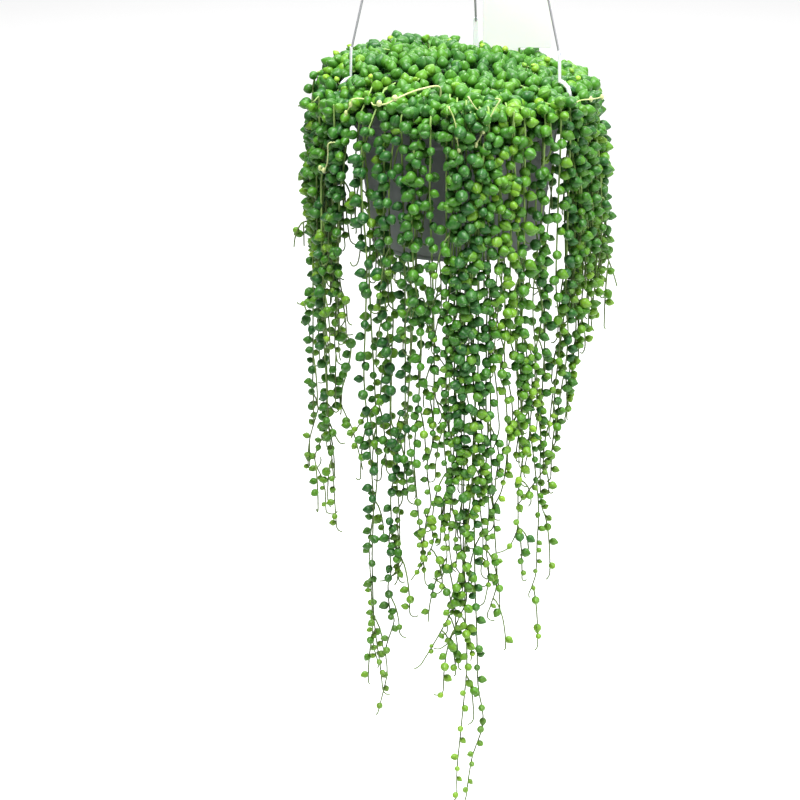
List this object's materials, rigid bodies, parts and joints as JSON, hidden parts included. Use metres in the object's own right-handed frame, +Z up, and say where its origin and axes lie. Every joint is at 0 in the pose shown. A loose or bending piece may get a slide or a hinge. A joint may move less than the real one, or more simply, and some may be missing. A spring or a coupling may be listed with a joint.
{
  "type": "potted string of pearls in a hanging pot",
  "caption": "Trailing succulent with bead-like leaves on thread-thin stems, spilling over a round plastic nursery pot that hangs from a three-armed wire-like hanger with a hook.",
  "frame": {"origin": "the point inside the hook's bend that rests on whatever carries the hanger", "axes": "+Z up along the hang, -Y towards the front with the longest strands, +X to the right seen from the front"},
  "size_m": [0.2461, 0.247, 0.9908],
  "materials": {
    "pot_plastic": "pale grey moulded plastic, satin and slightly see-through",
    "hanger_plastic": "milky white moulded plastic",
    "label_plastic": "bare white plastic sheet",
    "potting_mix": "moist, crumbly peat mix",
    "crown_pearls": "loose mound of fleshy green leaves, satin sheen",
    "strand_pearls": "fleshy green leaves on thread-like stems, satin sheen",
    "young_shoot": "pale young stem and buds"
  },
  "bodies": {
    "root": {"hanger_hook": "hanger_plastic", "hanger_arm_right": "hanger_plastic", "hanger_arm_back": "hanger_plastic", "hanger_arm_left": "hanger_plastic", "pot": "pot_plastic", "soil": "potting_mix", "plant_label": "label_plastic", "crown": "crown_pearls", "runner": "young_shoot", "strand_01": "strand_pearls", "strand_02": "strand_pearls", "strand_03": "strand_pearls", "strand_04": "strand_pearls", "strand_05": "strand_pearls", "strand_06": "strand_pearls", "strand_07": "strand_pearls", "strand_08": "strand_pearls", "strand_09": "strand_pearls", "strand_10": "strand_pearls", "strand_11": "strand_pearls", "strand_12": "strand_pearls", "strand_13": "strand_pearls", "strand_14": "strand_pearls", "strand_15": "strand_pearls", "strand_16": "strand_pearls", "strand_17": "strand_pearls", "strand_18": "strand_pearls", "strand_19": "strand_pearls", "strand_20": "strand_pearls", "strand_21": "strand_pearls", "strand_22": "strand_pearls", "strand_23": "strand_pearls", "strand_24": "strand_pearls", "strand_25": "strand_pearls", "strand_26": "strand_pearls", "strand_27": "strand_pearls", "strand_28": "strand_pearls", "strand_29": "strand_pearls", "strand_30": "strand_pearls", "strand_31": "strand_pearls", "strand_32": "strand_pearls", "strand_33": "strand_pearls", "strand_34": "strand_pearls", "strand_35": "strand_pearls", "strand_36": "strand_pearls", "strand_37": "strand_pearls", "strand_38": "strand_pearls", "strand_39": "strand_pearls", "strand_40": "strand_pearls", "strand_41": "strand_pearls", "strand_42": "strand_pearls", "strand_43": "strand_pearls", "strand_44": "strand_pearls", "strand_45": "strand_pearls", "strand_46": "strand_pearls", "strand_47": "strand_pearls", "strand_48": "strand_pearls", "strand_49": "strand_pearls", "strand_50": "strand_pearls", "strand_51": "strand_pearls"}
  },
  "joints": []
}
